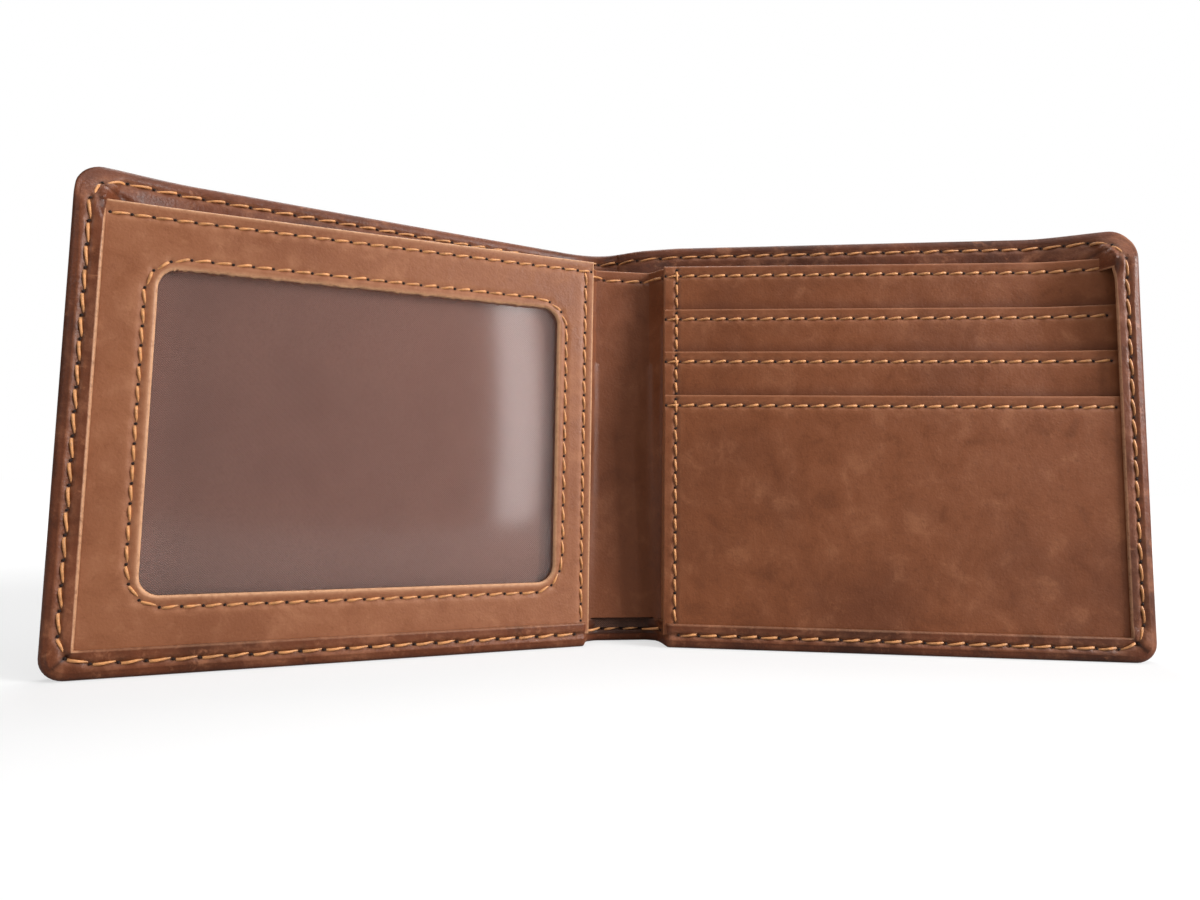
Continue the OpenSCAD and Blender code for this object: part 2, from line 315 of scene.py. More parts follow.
def gridQuads(rows, cols, start=0):
    i, j = np.meshgrid(np.arange(rows - 1), np.arange(cols - 1), indexing="ij")
    a = start + i * cols + j
    return np.stack([a, a + 1, a + cols + 1, a + cols], -1).reshape(-1, 4)


# Depth lost to a rounded edge at a distance from it.
def rounding(distance, radius):
    d = np.clip(radius - distance, 0, radius)
    return radius - np.sqrt(np.maximum(radius ** 2 - d ** 2, 0))


# A closed panel of one half between two depths, with rounded free edges.
def addPanel(name, side, sLines, zLines, front, back, material, holeSets=(), rawTop=1.0, paintedShade=0.0,
             free=(True, True, True, True), warp=None, shade=None, raised=None):
    s, z = np.meshgrid(sLines, zLines, indexing="ij")
    f, b = front(s, z), back(s, z)
    ends = [(sLines[0], s, 1), (sLines[-1], s, -1), (zLines[0], z, 1), (zLines[-1], z, -1)]
    far = np.full(s.shape, 99.0)
    for (end, axis, sign), isFree in zip(ends, free):
        if isFree:
            far = np.minimum(far, (axis - end) * sign)
    lost = rounding(far, 0.4 * (b - f))
    groove, dimple, halo = seamMarks(s, z, holeSets) if len(holeSets) else (np.zeros(s.shape),) * 3
    wave = warp(s, z) if warp else 0
    f = f + lost + seams["groove"] * groove + seams["dimple"] * dimple + wave
    b = b - lost + wave
    n, m = s.shape
    z = z + raised(s, z) if raised else z
    verts = np.concatenate([place(side, s, v, z).reshape(-1, 3) for v in (f, b)])
    faces = [gridQuads(n, m), gridQuads(n, m, n * m)[:, ::-1]]
    at = np.arange(n * m).reshape(n, m)
    for line in (at[:, 0], at[:, -1][::-1], at[0][::-1], at[-1]):
        faces.append(np.stack([line[:-1], line[1:], line[1:] + n * m, line[:-1] + n * m], -1))
    raw = np.exp(-(far / 0.32) ** 2) * rawTop
    none = np.zeros(s.shape)
    # Painted shade: an even amount for the whole panel plus what shade gives, mixed towards the dark tone in
    # the leather.
    paintedShadeSum = paintedShade + (shade(s, z) if shade else none)
    marks = {"groove": np.stack([groove + dimple, none]), "halo": np.stack([halo, none]),
             "raw": np.stack([raw, raw]), "paintedShade": np.stack([paintedShadeSum, paintedShadeSum])}
    return addObject(name, verts, np.concatenate(faces), marks, material)


def layer(side, v):
    return lambda s, z: depth(side, s, z, v)


def onCover(side, away):
    return lambda s, z: coverInner(side, s, z) - away


# The middle of the inner leather leans back between the two halves.
def lean(s, z):
    return 4.4 * np.clip((z - 5) / (stripTop - 5), 0, 1) * (1 - smooth((np.asarray(s) - 5.8) / 3.0))


def leaning(side, v):
    return lambda s, z: depth(side, s, z, v) + lean(s, z)


def gridStep():
    return wallet["grid"] * 1.0


def makeMaterial(name):
    material = bpy.data.materials.new(name)
    material.use_nodes = True
    nodes, links = material.node_tree.nodes, material.node_tree.links
    nodes.clear()
    shader = nodes.new("ShaderNodeBsdfPrincipled")
    end = nodes.new("ShaderNodeOutputMaterial")
    links.new(shader.outputs[0], end.inputs["Surface"])
    return material, nodes, links, shader


def attribute(nodes, name):
    node = nodes.new("ShaderNodeAttribute")
    node.attribute_name = name
    return node


def noise(nodes, links, coords, scale, detail=3, roughness=0.55, distortion=0.0):
    node = nodes.new("ShaderNodeTexNoise")
    node.inputs["Scale"].default_value = scale
    node.inputs["Detail"].default_value = detail
    node.inputs["Roughness"].default_value = roughness
    node.inputs["Distortion"].default_value = distortion
    links.new(coords, node.inputs["Vector"])
    return node.outputs["Fac"]


def spread(nodes, links, value, low, high, toLow=0.0, toHigh=1.0):
    node = nodes.new("ShaderNodeMapRange")
    node.interpolation_type = "SMOOTHSTEP"
    for key, number in (("From Min", low), ("From Max", high), ("To Min", toLow), ("To Max", toHigh)):
        node.inputs[key].default_value = number
    links.new(value, node.inputs["Value"])
    return node.outputs["Result"]


# Gives each socket its value, or a link when the value is another socket.
def feed(links, pairs):
    for socket, value in pairs:
        if isinstance(value, bpy.types.NodeSocket):
            links.new(value, socket)
        else:
            socket.default_value = value


def blendColour(nodes, links, first, second, share):
    node = nodes.new("ShaderNodeMix")
    node.data_type = "RGBA"
    feed(links, ((node.inputs[6], first), (node.inputs[7], second), (node.inputs[0], share)))
    return node.outputs[2]


def maths(nodes, links, kind, a, b):
    node = nodes.new("ShaderNodeMath")
    node.operation = kind
    feed(links, ((node.inputs[0], a), (node.inputs[1], b)))
    return node.outputs[0]


def rgb(r, g, b):
    return tuple(((c / 255 + 0.055) / 1.055) ** 2.4 if c > 10 else c / 255 / 12.92 for c in (r, g, b)) + (1,)


# Waxed pull-up leather: lighter where it is stretched, scuffed or cut, and darker where a mark paints shade.
def leather(name, base, dark, light, raw, mottle=1.0, scuffs=0.5, rough=0.5, grain=1.0):
    material, nodes, links, shader = makeMaterial(name)
    rest = attribute(nodes, "rest").outputs["Vector"]
    cloud = noise(nodes, links, rest, 0.03, 4, 0.55)
    blotch = noise(nodes, links, rest, 0.17, 4, 0.6, 0.4)
    speck = noise(nodes, links, rest, 1.3, 3, 0.6)
    colour = blendColour(nodes, links, base, dark, spread(nodes, links, cloud, 0.45, 0.72, 0, 0.75 * mottle))
    colour = blendColour(nodes, links, colour, light,
                         spread(nodes, links, blotch, 0.5, 0.78, 0, 0.55 * mottle))
    colour = blendColour(nodes, links, colour, dark, spread(nodes, links, blotch, 0.5, 0.24, 0, 0.6 * mottle))
    colour = blendColour(nodes, links, colour, dark, spread(nodes, links, speck, 0.52, 0.8, 0, 0.4))
    stretch = nodes.new("ShaderNodeMapping")
    stretch.inputs["Rotation"].default_value = (0.2, 0.5, 0.35)
    stretch.inputs["Scale"].default_value = (0.05, 1.0, 0.9)
    links.new(rest, stretch.inputs["Vector"])
    scratch = noise(nodes, links, stretch.outputs["Vector"], 0.9, 2, 0.6)
    patchy = spread(nodes, links, noise(nodes, links, rest, 0.09, 3), 0.5, 0.66)
    scratches = maths(nodes, links, "MULTIPLY", patchy,
                      spread(nodes, links, scratch, 0.64, 0.74, 0, 0.55 * scuffs))
    colour = blendColour(nodes, links, colour, light, scratches)
    worn = maths(nodes, links, "MULTIPLY", spread(nodes, links, speck, 0.42, 0.62),
                 spread(nodes, links, noise(nodes, links, rest, 0.28, 3, 0.7), 0.53, 0.72, 0, 0.75 * scuffs))
    colour = blendColour(nodes, links, colour, light, worn)
    halo = maths(nodes, links, "MULTIPLY", attribute(nodes, "halo").outputs["Fac"],
                 spread(nodes, links, speck, 0.35, 0.6, 0.35, 0.8))
    colour = blendColour(nodes, links, colour, light, halo)
    # Darker along the seam grooves; round the needle holes and in the corner gathers and mitres of the turned
    # edge this is painted shade.
    colour = blendColour(nodes, links, colour, dark,
                         maths(nodes, links, "MULTIPLY", attribute(nodes, "groove").outputs["Fac"], 0.4))
    # Lighter at cut edges; at the outer side of the covers' turned edge part of this is painted highlight.
    edge = maths(nodes, links, "MULTIPLY", attribute(nodes, "raw").outputs["Fac"],
                 spread(nodes, links, speck, 0.25, 0.55, 0.45, 1.0))
    colour = blendColour(nodes, links, colour, raw, edge)
    # Painted shade from the marks: above the pocket mouths, over the inner leather and in the recess of the
    # turned edge between the halves.
    colour = blendColour(nodes, links, colour, dark, attribute(nodes, "paintedShade").outputs["Fac"])
    links.new(colour, shader.inputs["Base Color"])
    links.new(spread(nodes, links, blotch, 0.3, 0.7, rough - 0.07, rough + 0.09), shader.inputs["Roughness"])
    shader.inputs["Specular IOR Level"].default_value = 0.32
    pores = nodes.new("ShaderNodeTexVoronoi")
    pores.inputs["Scale"].default_value = 1.7
    links.new(rest, pores.inputs["Vector"])
    fine = maths(nodes, links, "ADD", maths(nodes, links, "MULTIPLY", pores.outputs["Distance"], 0.5),
                 noise(nodes, links, rest, 2.4, 4, 0.65))
    fine = maths(nodes, links, "ADD", fine,
                 maths(nodes, links, "MULTIPLY", noise(nodes, links, rest, 0.35, 3, 0.55), 2.2))
    bump = nodes.new("ShaderNodeBump")
    bump.inputs["Strength"].default_value = 0.35 * grain
    bump.inputs["Distance"].default_value = 0.00014
    links.new(fine, bump.inputs["Height"])
    links.new(bump.outputs["Normal"], shader.inputs["Normal"])
    return material


def woven(name, base, dark, pitch=0.42):
    material, nodes, links, shader = makeMaterial(name)
    rest = attribute(nodes, "rest").outputs["Vector"]
    parts = nodes.new("ShaderNodeSeparateXYZ")
    links.new(rest, parts.inputs[0])
    turns = 2 * math.pi / pitch
    across = maths(nodes, links, "SINE", maths(nodes, links, "MULTIPLY", parts.outputs["X"], turns), 0.0)
    up = maths(nodes, links, "SINE", maths(nodes, links, "MULTIPLY", parts.outputs["Z"], turns), 0.0)
    weave = maths(nodes, links, "MULTIPLY", across, up)
    cloud = noise(nodes, links, rest, 0.05, 3)
    speck = noise(nodes, links, rest, 2.2, 3, 0.7)
    colour = blendColour(nodes, links, base, dark, spread(nodes, links, cloud, 0.35, 0.75, 0, 0.5))
    colour = blendColour(nodes, links, colour, dark, spread(nodes, links, speck, 0.42, 0.75, 0, 0.55))
    colour = blendColour(nodes, links, colour, dark, spread(nodes, links, weave, 0.2, -1.0, 0, 0.4))
    links.new(colour, shader.inputs["Base Color"])
    shader.inputs["Roughness"].default_value = 0.85
    shader.inputs["Specular IOR Level"].default_value = 0.2
    shader.inputs["Sheen Weight"].default_value = 0.15
    bump = nodes.new("ShaderNodeBump")
    bump.inputs["Strength"].default_value = 0.5
    bump.inputs["Distance"].default_value = 0.00008
    links.new(maths(nodes, links, "ADD", weave, speck), bump.inputs["Height"])
    links.new(bump.outputs["Normal"], shader.inputs["Normal"])
    return material


def clearFilm(name):
    material, nodes, links, shader = makeMaterial(name)
    gloss = nodes.new("ShaderNodeBsdfGlossy")
    gloss.inputs["Roughness"].default_value = 0.09
    gloss.inputs["Color"].default_value = (1, 1, 1, 1)
    clear = nodes.new("ShaderNodeBsdfTransparent")
    clear.inputs["Color"].default_value = (0.97, 0.95, 0.95, 1)
    edge = nodes.new("ShaderNodeFresnel")
    edge.inputs["IOR"].default_value = 1.5
    mix = nodes.new("ShaderNodeMixShader")
    links.new(edge.outputs[0], mix.inputs[0])
    links.new(clear.outputs[0], mix.inputs[1])
    links.new(gloss.outputs[0], mix.inputs[2])
    haze = nodes.new("ShaderNodeMixShader")
    haze.inputs[0].default_value = 0.03
    fog = nodes.new("ShaderNodeBsdfDiffuse")
    fog.inputs["Color"].default_value = (0.75, 0.74, 0.74, 1)
    links.new(mix.outputs[0], haze.inputs[1])
    links.new(fog.outputs[0], haze.inputs[2])
    links.new(haze.outputs[0], nodes["Material Output"].inputs["Surface"])
    nodes.remove(shader)
    return material


def plain(name, colour, rough, bumps=0.0):
    material, nodes, links, shader = makeMaterial(name)
    shader.inputs["Roughness"].default_value = rough
    if bumps:
        geometry = nodes.new("ShaderNodeTexCoord").outputs["Object"]
        tone = noise(nodes, links, geometry, 900, 3, 0.6)
        shade = tuple(c * 0.62 for c in colour[:3]) + (1,)
        links.new(blendColour(nodes, links, shade, colour, spread(nodes, links, tone, 0.3, 0.62)),
                  shader.inputs["Base Color"])
        bump = nodes.new("ShaderNodeBump")
        bump.inputs["Strength"].default_value = bumps
        bump.inputs["Distance"].default_value = 0.0001
        links.new(noise(nodes, links, geometry, 3500, 3, 0.6), bump.inputs["Height"])
        links.new(bump.outputs["Normal"], shader.inputs["Normal"])
    else:
        shader.inputs["Base Color"].default_value = colour
    return material


# For each leather its base, its dark tone (dark patches and painted shade), its scuffs and its cut edge; for
# each cloth its base and dark.
tones = {
    "panel": (rgb(150, 94, 63), rgb(122, 70, 44), rgb(186, 128, 92), rgb(216, 164, 124)),
    # A darker copy of the panel leather, as painted shade for the card pockets and the inner leather.
    "card": (rgb(134, 77, 46), rgb(100, 54, 32), rgb(168, 108, 72), rgb(180, 122, 84)),
    "cover": (rgb(112, 60, 36), rgb(66, 34, 20), rgb(164, 106, 74), rgb(196, 144, 108)),
    "pocketCloth": (rgb(244, 186, 164), rgb(218, 160, 140)),
    "liningCloth": (rgb(96, 68, 56), rgb(70, 48, 40)),
    "thread": rgb(226, 158, 100),
    # Painted shade in the needle holes.
    "hole": rgb(34, 18, 12),
}
panelLeather = leather("panelLeather", *tones["panel"], mottle=0.75, scuffs=0.3, rough=0.48)
cardLeather = leather("cardLeather", *tones["card"], mottle=0.85, scuffs=0.3, rough=0.46)
coverLeather = leather("coverLeather", *tones["cover"], mottle=1.15, scuffs=0.85, rough=0.42, grain=1.3)
pocketCloth = woven("pocketCloth", *tones["pocketCloth"])
liningCloth = woven("liningCloth", *tones["liningCloth"])
film = clearFilm("film")
threadYarn = plain("threadYarn", tones["thread"], 0.45, bumps=0.5)
# The needle holes are dark spheres: painted shade in the holes.
holeShade = plain("holeShade", tones["hole"], 0.9)
print("wallet: materials made")


step = gridStep()
bodies = {left: "left_half", right: "right_half"}
word = {left: "left", right: "right"}
hemWide, hemTall, topTall = turnedEdge["wide"], turnedEdge["tall"], turnedEdge["topTall"]
cornerR = wallet["cornerRadius"]
panelEnd, panelLow = foldX + wallet["panelEnd"], wallet["panelLow"]
coarse = 2.5                  # cell size where a layer is hidden


def bendWith(piece):
    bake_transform(piece)
    return piece


def along(points, count):
    points = np.asarray(points, float)
    reach = np.concatenate([[0], np.cumsum(np.linalg.norm(np.diff(points, axis=0), axis=1))])
    at = np.linspace(0, reach[-1], count)
    return np.stack([np.interp(at, reach, points[:, 0]), np.interp(at, reach, points[:, 1])], -1)


gather = {
    "reach": 8.5,             # how far the folds run from the top corner
    "lift": 0.75,
    "sink": 0.35,
    "mitreStep": 0.32,        # step at the bottom corner, where one side lies over the other
}


# Place round the top corner with its folds, and the distance across the mitre of the bottom one.
def cornerFolds(s, z):
    ds, dz = (outerX - 3.0) - s, (coverTop - 3.0) - z
    radius, angle = np.hypot(ds, dz), np.arctan2(dz, ds)
    near = (ds > -1) * (dz > -1)
    folds = 1 - np.abs(np.sin(angle * 4.2 + 0.9)) ** 0.6
    return radius, angle, near, folds, ((s - outerX) + z) / math.sqrt(2)


# Gathers at the top corners of the turned edge, and the fold of the mitre at the bottom ones.
def gathers(s, z):
    radius, angle, near, folds, across = cornerFolds(s, z)
    inside = smooth((radius - 0.5) / 1.0) * smooth((gather["reach"] - radius) / 3.0)
    inside = inside * smooth((angle - 0.12) / 0.25) * smooth((1.75 - angle) / 0.3) * near
    lift = inside * (gather["lift"] * folds - gather["sink"])
    corner = smooth((9.0 - (outerX - s)) / 3) * smooth((8.0 - z) / 2) * gather["mitreStep"]
    return lift - corner * smooth((across + 0.15) / 0.3) * smooth((3.5 - across) / 2.5)


# Painted shade in the folds of the top corner gathers and along the mitre of the bottom corners.
def gatherShade(s, z):
    radius, angle, near, folds, across = cornerFolds(s, z)
    inside = smooth((radius - 0.3) / 0.8) * smooth((gather["reach"] - radius) / 3.0)
    folds = folds ** 2 * (inside * (angle > 0.1) * (angle < 1.75)) * near
    mitre = np.exp(-((across + 0.1) / 0.28) ** 2) * smooth((7.5 - (outerX - s)) / 1) * smooth((6.0 - z) / 1)
    return np.maximum(folds, mitre)


def hemSurface(side, s, z):
    return hemFace(side, s, z) + gathers(s, z)


# Runs round the free edge of a cover: rim, end of the turned edge and inner line, then the number of cells.
def edgeRuns():
    w, h, r = outerX, coverTop, cornerR
    zone = 20                 # how far a corner reaches along its edges
    d = 10.0                  # the plain middle of the cover starts this far in
    upSide, toTop = w - hemWide, h - topTall
    arc = [(math.sin(a), 1 - math.cos(a)) for a in np.linspace(0, math.pi / 4, 8)]
    bottomArc = [(w - r + r * x, r * y) for x, y in arc]
    sideArc = [(w - r * y, r - r * x) for x, y in arc][::-1]
    topSideArc = [(a, h - b) for a, b in sideArc][::-1]
    topArc = [(a, h - b) for a, b in bottomArc][::-1]
    n1, n2, n3 = int((w - zone) / step), max(14, int(17 / step)), int((h - 2 * zone) / step)
    return n1, n2, [
        ([(0, 0), (w - zone, 0)], [(0, hemTall), (w - zone, hemTall)], [(0, d), (w - zone, d)], n1),
        ([(w - zone, 0)] + bottomArc, [(w - zone, hemTall), (upSide, hemTall)],
         [(w - zone, d), (w - d, d)], n2),
        (sideArc + [(w, zone)], [(upSide, hemTall), (upSide, zone)], [(w - d, d), (w - d, zone)], n2),
        ([(w, zone), (w, h - zone)], [(upSide, zone), (upSide, h - zone)],
         [(w - d, zone), (w - d, h - zone)], n3),
        ([(w, h - zone)] + topSideArc, [(upSide, h - zone), (upSide, toTop)],
         [(w - d, h - zone), (w - d, h - d)], n2),
        (topArc + [(w - zone, h)], [(upSide, toTop), (w - zone, toTop)],
         [(w - d, h - d), (w - zone, h - d)], n2),
        ([(w - zone, h), (0, h)], [(w - zone, toTop), (0, toTop)], [(w - zone, h - d), (0, h - d)], n1),
    ]


def coverPiece(side):
    n1, n2, runs = edgeRuns()
    rim, hemEnd, inner = [np.concatenate([along(run[k], run[3])[min(i, 1):] for i, run in enumerate(runs)])
                          for k in range(3)]
    gridS = np.concatenate([inner[:n1, 0], inner[n1:n1 + n2 - 1, 0]])
    cornerB, cornerT = n1 + n2 - 2, len(inner) - (n1 + n2 - 1)
    gridZ = inner[cornerB:cornerT + 1, 1]
    toHem = hemEnd - rim
    hemLong = np.linalg.norm(toHem, axis=1, keepdims=True)
    toHem = toHem / hemLong
    toInner = inner - rim
    innerLong = np.linalg.norm(toInner, axis=1, keepdims=True)
    toInner = toInner / innerLong
    roll = turnedEdge["roll"]
    at = rim + toHem * roll
    outerDepth = coverOuter(side, *at.T)
    hemDepth = hemFace(side, *at.T)
    rollHere = np.minimum(roll, (outerDepth - hemDepth) * 0.49)
    rows, kinds = [], []

    def addRow(points, v, kind=0.0):
        rows.append((points, v))
        kinds.append(kind)

    for share in np.linspace(0, 1, 9)[1:-1]:
        points = inner - toInner * (innerLong - roll) * share
        addRow(points, coverOuter(side, *points.T))
    for a in np.linspace(0, math.pi / 2, 7):
        points = rim + toHem * (roll * (1 - math.sin(a)))
        addRow(points, outerDepth - rollHere * (1 - math.cos(a)))
    for share in (0.33, 0.67):
        addRow(rim, (outerDepth - rollHere) * (1 - share) + (hemDepth + rollHere) * share)
    for a in np.linspace(math.pi / 2, 0, 7):
        points = rim + toHem * (roll * (1 - math.sin(a)))
        fade = 0 if a > 0 else 1
        addRow(points, hemDepth + rollHere * (1 - math.cos(a)) + fade * gathers(*points.T))
    hemRows = int(9 / (step * 0.62))
    for share in np.linspace(0, 1, hemRows)[1:]:
        points = rim + toHem * (roll + (hemLong - roll - 0.5) * share)
        addRow(points, hemSurface(side, *points.T), 1.0)
    for distance in (0.3, 0.15, 0.05, 0.0):
        points = rim + toHem * (hemLong - distance)
        lost = rounding(np.array(distance), 0.4)
        addRow(points, hemFace(side, *points.T) + lost + gathers(*points.T), 2.0)

    def hemBack(points):
        pressedHere = np.where(points[:, 1] > idTop, 1.0, pinch(side, *points.T))
        return hemFace(side, *points.T) + turnedEdge["thick"] * pressedHere

    addRow(hemEnd, hemBack(hemEnd), 2.0)
    points = rim + toHem * turnedEdge["turnIn"]
    for share in (0.3, 0.6, 1.0):
        under = hemEnd + (points - hemEnd) * share
        addRow(under, hemBack(under))
    innerDepth = coverInner(side, *points.T)
    addRow(points, innerDepth * 0.5 + hemBack(points) * 0.5)
    addRow(points, np.maximum(innerDepth, hemBack(points) + 0.02))
    for share in (0.3, 0.65):
        mid = points + (inner - points) * share
        addRow(mid, coverInner(side, *mid.T))

    ringS = np.array([p[:, 0] for p, v in rows])
    ringZ = np.array([p[:, 1] for p, v in rows])
    ringV = np.array([v for p, v in rows])
    kind = np.array(kinds)[:, None]
    groove, dimple, halo = seamMarks(ringS, ringZ, [hemHoles])
    onHem = (kind > 0).astype(float)
    backRow = (np.arange(len(rows)) < 8)[:, None] * smooth((outerX + 5 - ringS) / 4)
    ringV = ringV + onHem * (0.36 * groove + 0.3 * dimple - 0.1)
    ringV = ringV - backRow * (0.2 * groove + 0.16 * dimple)
    shown = np.clip(onHem + backRow, 0, 1)
    gs, gz = np.meshgrid(gridS, gridZ, indexing="ij")
    outerV, innerV = coverOuter(side, gs, gz), coverInner(side, gs, gz)
    a, b = gs.shape
    verts = np.concatenate([place(side, *part).reshape(-1, 3)
                            for part in ((gs, outerV, gz), (gs, innerV, gz), (ringS, ringV, ringZ))])
    at = np.arange(a * b).reshape(a, b)
    border = np.concatenate([at[:, 0], at[-1, 1:], at[:-1, -1][::-1]])
    ring = np.arange(ringS.size).reshape(ringS.shape) + 2 * a * b
    full = np.concatenate([border[None], ring, (border + a * b)[None]])
    top, low = full[:-1], full[1:]
    band = np.stack([top[:, :-1], low[:, :-1], low[:, 1:], top[:, 1:]], -1).reshape(-1, 4)
    faces = [list(f) for part in (gridQuads(a, b), gridQuads(a, b, a * b)[:, ::-1], band) for f in part]
    cap = list(full[:, 0]) + list(at[0, 1:] + a * b) + list(full[::-1, -1])[1:] + list(at[0, 1:-1][::-1])
    faces.append(cap)
    flat = np.zeros(2 * a * b)
    # The cut edge of the turned edge is lighter; the extra at the outer side, more on the left half, is
    # painted highlight where it faces the key light.
    sideEdgeHighlight = smooth((ringS - outerX + 7) / 2) * (1.0 if side == left else 0.6)
    cutEdgeAndHighlight = np.clip(kind - 1, 0, 1) * (0.22 + 0.78 * sideEdgeHighlight)
    # Painted shade in the recess of the turned edge below the centre strip.
    recessShade = (1 - smooth((ringS - 6) / 3.5)) * smooth((9 - ringZ) / 2) * 0.9 * onHem
    # Painted shade in the corner gathers and mitres, carried by the groove mark.
    creaseShade = onHem * gatherShade(ringS, ringZ)
    onRing = {"groove": shown * (groove + dimple) + 2.2 * creaseShade, "halo": shown * halo,
              "raw": cutEdgeAndHighlight, "paintedShade": recessShade}
    marks = {key: np.concatenate([flat, values.ravel()]) for key, values in onRing.items()}
    piece = addObject(word[side] + "Cover", verts, faces, marks, coverLeather, sharp=60)
    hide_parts(*(("left_cover", "spine_cover") if side == left else ("right_cover",)))
    return bendWith(piece)


# The window panel as one closed band between the window and the panel's outer edge.
def frameRing(side):
    arcs = 26
    x0, x1, z0, z1 = foldX + window["in"], foldX + window["out"], window["low"], window["high"]
    r = window["radius"]
    left0, right0, low0, top0 = foldX + gap, panelEnd, panelLow, idTop
    loop, outer = [], []
    for cx, cz, start, ex, ez in ((x1 - r, z0 + r, -90, right0, low0), (x1 - r, z1 - r, 0, right0, top0),
                                  (x0 + r, z1 - r, 90, left0, top0), (x0 + r, z0 + r, 180, left0, low0)):
        for i in range(arcs + 1):
            a = math.radians(start + 90 * i / arcs)
            c, sn = math.cos(a), math.sin(a)
            loop.append((cx + r * c, cz + r * sn))
            share = 2 * i / arcs
            atStart = {-90: (cx, ez), 0: (ex, cz), 90: (cx, ez), 180: (ex, cz)}[start]
            atEnd = {-90: (ex, cz), 0: (cx, ez), 90: (ex, cz), 180: (cx, ez)}[start]
            if share <= 1:
                x, z = atStart
                outer.append((x + (ex - x) * share, z + (ez - z) * share))
            else:
                outer.append((ex + (atEnd[0] - ex) * (share - 1), ez + (atEnd[1] - ez) * (share - 1)))
    loop.append(loop[0])
    outer.append(outer[0])
    loopFull, outerFull = [], []
    for k in range(len(loop) - 1):
        long = math.dist(loop[k], loop[k + 1])
        n = max(1, int(round(long / step)))
        for i in range(n):
            t = i / n
            loopFull.append([loop[k][j] + (loop[k + 1][j] - loop[k][j]) * t for j in (0, 1)])
            outerFull.append([outer[k][j] + (outer[k + 1][j] - outer[k][j]) * t for j in (0, 1)])
    loopFull, outerFull = np.array(loopFull), np.array(outerFull)
    width = np.linalg.norm(outerFull - loopFull, axis=1)
    steps = int(9.5 / (step * 0.62))
    extra = [0.007, 0.02, 0.042]
    shares = {i / steps for i in range(steps + 1)} | set(extra) | {1 - e for e in extra}
    q = np.array(sorted(shares))[:, None]
    s = loopFull[:, 0][None] * (1 - q) + outerFull[:, 0][None] * q
    z = loopFull[:, 1][None] * (1 - q) + outerFull[:, 1][None] * q
    ragged = np.random.default_rng(7).uniform(-0.13, 0.17, len(loopFull)) ** 3 * 60
    z = z - ragged[None] * (1 - smooth(q / 0.05)) * smooth((z - z1 + 1.0) / 1.0)
    far = np.minimum(q * width[None], (1 - q) * width[None])
    f = depth(side, s, z, wallet["idFront"])
    b = depth(side, s, z, wallet["idFront"] + 1.0)
    groove, dimple, halo = seamMarks(s, z, [idTopHoles, idEdgeHoles, windowHoles])
    puff = 0.16 * np.exp(-((q * width[None] - 1.0) / 0.8) ** 2)
    lost = rounding(far, 0.42 * (b - f))
    front = f + lost + 0.24 * groove + 0.2 * dimple - puff
    n, m = s.shape
    verts = np.concatenate([place(side, s, v, z).reshape(-1, 3) for v in (front, b - lost)])
    at = np.arange(n * m).reshape(n, m)
    nxt = np.roll(at, -1, axis=1)
    faces = [np.stack([at[:-1], at[1:], nxt[1:], nxt[:-1]], -1).reshape(-1, 4)]
    faces.append(faces[0][:, ::-1] + n * m)
    for row, flip in ((0, 1), (-1, -1)):
        quad = np.stack([at[row], nxt[row], nxt[row] + n * m, at[row] + n * m], -1)
        faces.append(quad[:, ::flip])
    raw = np.exp(-(far / 0.45) ** 2)
    none = np.zeros(s.shape)
    marks = {"groove": np.stack([groove + dimple, none]), "halo": np.stack([halo, none]),
             "raw": np.stack([raw, raw]), "paintedShade": np.stack([none, none])}
    piece = addObject("windowPanel", verts, np.concatenate(faces), marks, panelLeather)
    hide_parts("id_window_panel")
    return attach(piece, bodies[side])


for side in (left, right):
    coverPiece(side)
print("wallet: covers made")

frameRing(left)


def inLayer(piece, node, side):
    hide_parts(*([node] if isinstance(node, str) else node))
    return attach(piece, bodies[side])


sAll = cellLines(foldX + gap, panelEnd, step, fine=[edgeX])


# Painted shade on a layer just above the mouth of the pocket in front of it.
def shadeAbove(mouth):
    return lambda s, z: 0.55 * smooth((mouth + 3.2 - z) / 3.2) * smooth((s - foldX - 2) / 3)


cardNames = ["cardBack", "upperPocket", "middlePocket", "frontPocket"]
cardNodes = ["card_back_panel", "upper_card_pocket", "middle_card_pocket", "front_card_pocket"]
for i, node in enumerate(cardNodes):
    topZ = cardTops[i]
    lowZ = panelLow if i in (0, 3) else topZ - 22
    shownLow = mouths[i] - 1.5 if i < 3 else panelLow
    if lowZ < shownLow - 3:
        low = np.arange(lowZ, shownLow, coarse)
        high = cellLines(shownLow, topZ, step, fine=[topZ - belowTop])
        zLines = np.concatenate([low, high[high > low[-1] + 0.3]])
    else:
        zLines = cellLines(lowZ, topZ, step, fine=[topZ - belowTop])
    front = wallet["cardFronts"][i]
    back = front + (wallet["pocketThick"] if i else wallet["cardBackThick"])
    shade = shadeAbove(mouths[i]) if i < 3 else None
    piece = addPanel(cardNames[i], right, sAll, zLines, layer(right, front), layer(right, back), cardLeather,
                     [cardHoles[i], cardEdgeRuns[i]], rawTop=0.45, shade=shade)
    inLayer(piece, node, right)


# Between the halves the inner leather stops at the turned edge instead of going under it.
def stripEnd(s, z):
    return np.clip(5.35 - z, 0, None) * 0.97 * (1 - smooth((s - 7.0) / 1.4))


for side in (left, right):
    lines = cellLines(0.0, panelEnd, step * 1.4, ends=0.05)
    zLines = cellLines(panelLow, stripTop, step * 1.2, fine=[stripTop - belowTop])
    # The inner leather also gets an even painted shade.
    piece = addPanel(word[side] + "InnerBase", side, lines, zLines, leaning(side, 0.0),
                     leaning(side, wallet["baseThick"]), cardLeather, [stripHoles],
                     free=(False, True, True, True), paintedShade=0.35, raised=stripEnd)
    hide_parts(*(("left_inner_base", "centre_strip") if side == left else ("right_inner_base",)))
    bendWith(piece)
print("wallet: panels made")

